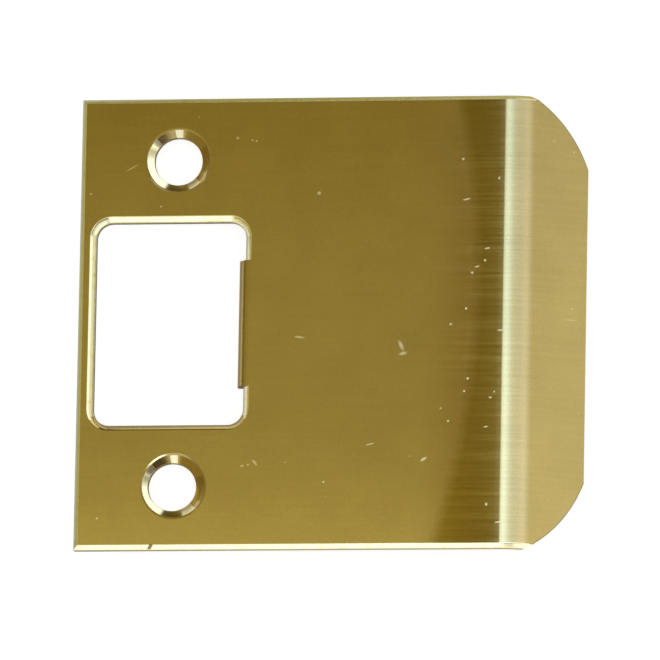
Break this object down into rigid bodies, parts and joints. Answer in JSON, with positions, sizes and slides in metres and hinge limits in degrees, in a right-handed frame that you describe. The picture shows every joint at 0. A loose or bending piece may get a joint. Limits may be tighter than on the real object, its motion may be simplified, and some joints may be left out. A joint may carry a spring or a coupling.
{
  "type": "door strike plate",
  "caption": "Extended-lip door strike plate: flat brass sheet with a latch opening and folded tang, countersunk screw holes and a bent lip with rounded corners.",
  "frame": {"origin": "midway between the two screw holes, on the plate's flat back face", "axes": "+X from the rear edge towards the bent lip, +Y along the plate's height from one screw hole to the other, +Z out of the polished front face"},
  "size_m": [0.0633, 0.0572, 0.0061],
  "materials": {
    "polished_brass": "polished"
  },
  "bodies": {
    "root": {"strike_plate": "polished_brass"}
  },
  "joints": []
}
